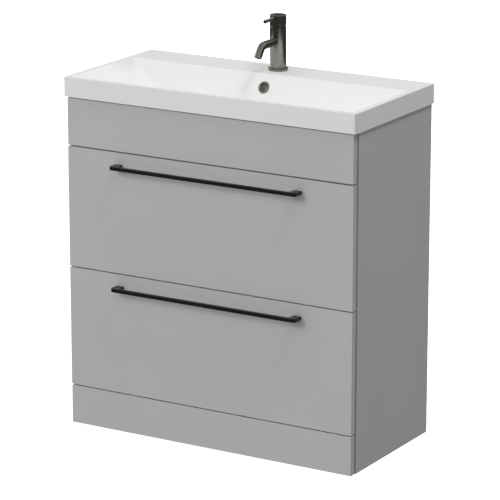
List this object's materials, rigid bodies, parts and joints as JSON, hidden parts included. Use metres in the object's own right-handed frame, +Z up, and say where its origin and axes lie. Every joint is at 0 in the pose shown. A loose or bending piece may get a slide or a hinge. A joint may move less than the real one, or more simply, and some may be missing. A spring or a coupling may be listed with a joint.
{
  "type": "bathroom vanity unit",
  "caption": "Floor-standing grey bathroom vanity with two deep drawers and bar handles, a rectangular white ceramic basin, a single-lever tap, a click-clack waste and a bottle trap.",
  "frame": {"origin": "on the floor, under the middle of the unit's overall box, handles and basin included", "axes": "+Z up, +Y from the drawer fronts towards the wall, +X to the right of someone facing the fronts"},
  "size_m": [0.81, 0.42, 1.02],
  "materials": {
    "lacquer": "satin lacquer on wood-fibre board",
    "inside_board": "melamine-faced board",
    "zinc_steel": "zinc plated",
    "glazed_ceramic": "gloss glaze",
    "gunmetal_plate": "polished gunmetal plating on brass",
    "handle_coating": "satin black coating",
    "drawer_steel": "matt powder coat",
    "white_plastic": "moulded polypropylene",
    "grey_plastic": "moulded",
    "grey_rubber": "soft"
  },
  "bodies": {
    "cabinet": {"left_side_panel": "lacquer", "right_side_panel": "lacquer", "base_panel": "inside_board", "top_fascia": "lacquer", "plinth": "lacquer", "fascia_rail": "inside_board", "rear_top_rail": "inside_board", "rear_bottom_rail": "inside_board", "plinth_brackets": "zinc_steel", "cam_fittings": "zinc_steel", "basin": "glazed_ceramic", "overflow_ring": "gunmetal_plate", "waste_body": "gunmetal_plate", "waste_seals": "grey_rubber", "waste_backnut": "gunmetal_plate", "trap_body": "white_plastic", "trap_cup": "white_plastic", "trap_inlet_nut": "white_plastic", "trap_outlet_nut": "white_plastic", "trap_outlet_pipe": "white_plastic", "tap_body": "gunmetal_plate", "tap_base_ring": "gunmetal_plate", "tap_spout": "gunmetal_plate", "tap_aerator": "grey_plastic", "tap_cartridge": "grey_plastic", "tap_cartridge_nut": "gunmetal_plate", "tap_fixing_stud": "zinc_steel", "tap_fixing_plate": "zinc_steel", "tap_fixing_nut": "zinc_steel", "upper_runner_rails": "zinc_steel", "lower_runner_rails": "zinc_steel"},
    "upper_drawer": {"upper_front": "lacquer", "upper_base": "inside_board", "upper_back": "inside_board", "upper_surround": "inside_board", "upper_side_left": "drawer_steel", "upper_side_right": "drawer_steel", "upper_gallery_rods": "drawer_steel", "upper_handle": "handle_coating", "upper_handle_screws": "zinc_steel", "upper_buffers": "grey_rubber", "upper_runner_slides": "zinc_steel"},
    "lower_drawer": {"lower_front": "lacquer", "lower_base": "inside_board", "lower_back": "inside_board", "lower_side_left": "drawer_steel", "lower_side_right": "drawer_steel", "lower_gallery_rods": "drawer_steel", "lower_handle": "handle_coating", "lower_handle_screws": "zinc_steel", "lower_buffers": "grey_rubber", "lower_runner_slides": "zinc_steel"},
    "upper_runner_middle": {"upper_runner_mids": "zinc_steel"},
    "lower_runner_middle": {"lower_runner_mids": "zinc_steel"},
    "plug": {"waste_plug": "gunmetal_plate"},
    "tap_swivel_ring": {"tap_swivel_cup": "grey_plastic"},
    "tap_lever": {"tap_spindle": "zinc_steel", "tap_handle_cap": "gunmetal_plate", "tap_lever_pin": "gunmetal_plate", "tap_grub_screw": "zinc_steel"}
  },
  "joints": [
    {"name": "upper_drawer_slide", "type": "slide", "parent": "cabinet", "child": "upper_drawer", "axis": [0, -1, 0], "range_m": [0, 0.2825]},
    {"name": "upper_runner_slide", "type": "slide", "parent": "cabinet", "child": "upper_runner_middle", "axis": [0, -1, 0], "range_m": [0, 0.14125]},
    {"name": "lower_drawer_slide", "type": "slide", "parent": "cabinet", "child": "lower_drawer", "axis": [0, -1, 0], "range_m": [0, 0.2825]},
    {"name": "lower_runner_slide", "type": "slide", "parent": "cabinet", "child": "lower_runner_middle", "axis": [0, -1, 0], "range_m": [0, 0.14125]},
    {"name": "plug_press", "type": "slide", "parent": "cabinet", "child": "plug", "axis": [0, 0, -1], "range_m": [0, 0.009], "stiffness_N_per_m": 300, "springref_m": -0.01},
    {"name": "tap_swivel", "type": "hinge", "parent": "cabinet", "child": "tap_swivel_ring", "pos_m": [0, 0.155, 0.991], "axis": [0, 0, 1], "range_deg": [-45, 45]},
    {"name": "tap_lift", "type": "hinge", "parent": "tap_swivel_ring", "child": "tap_lever", "pos_m": [0, 0.155, 0.991], "axis": [-1, 0, 0], "range_deg": [0, 20]}
  ],
  "couplings": [
    {"joint": "upper_runner_slide", "follows": "upper_drawer_slide", "ratio": 0.5},
    {"joint": "lower_runner_slide", "follows": "lower_drawer_slide", "ratio": 0.5}
  ]
}
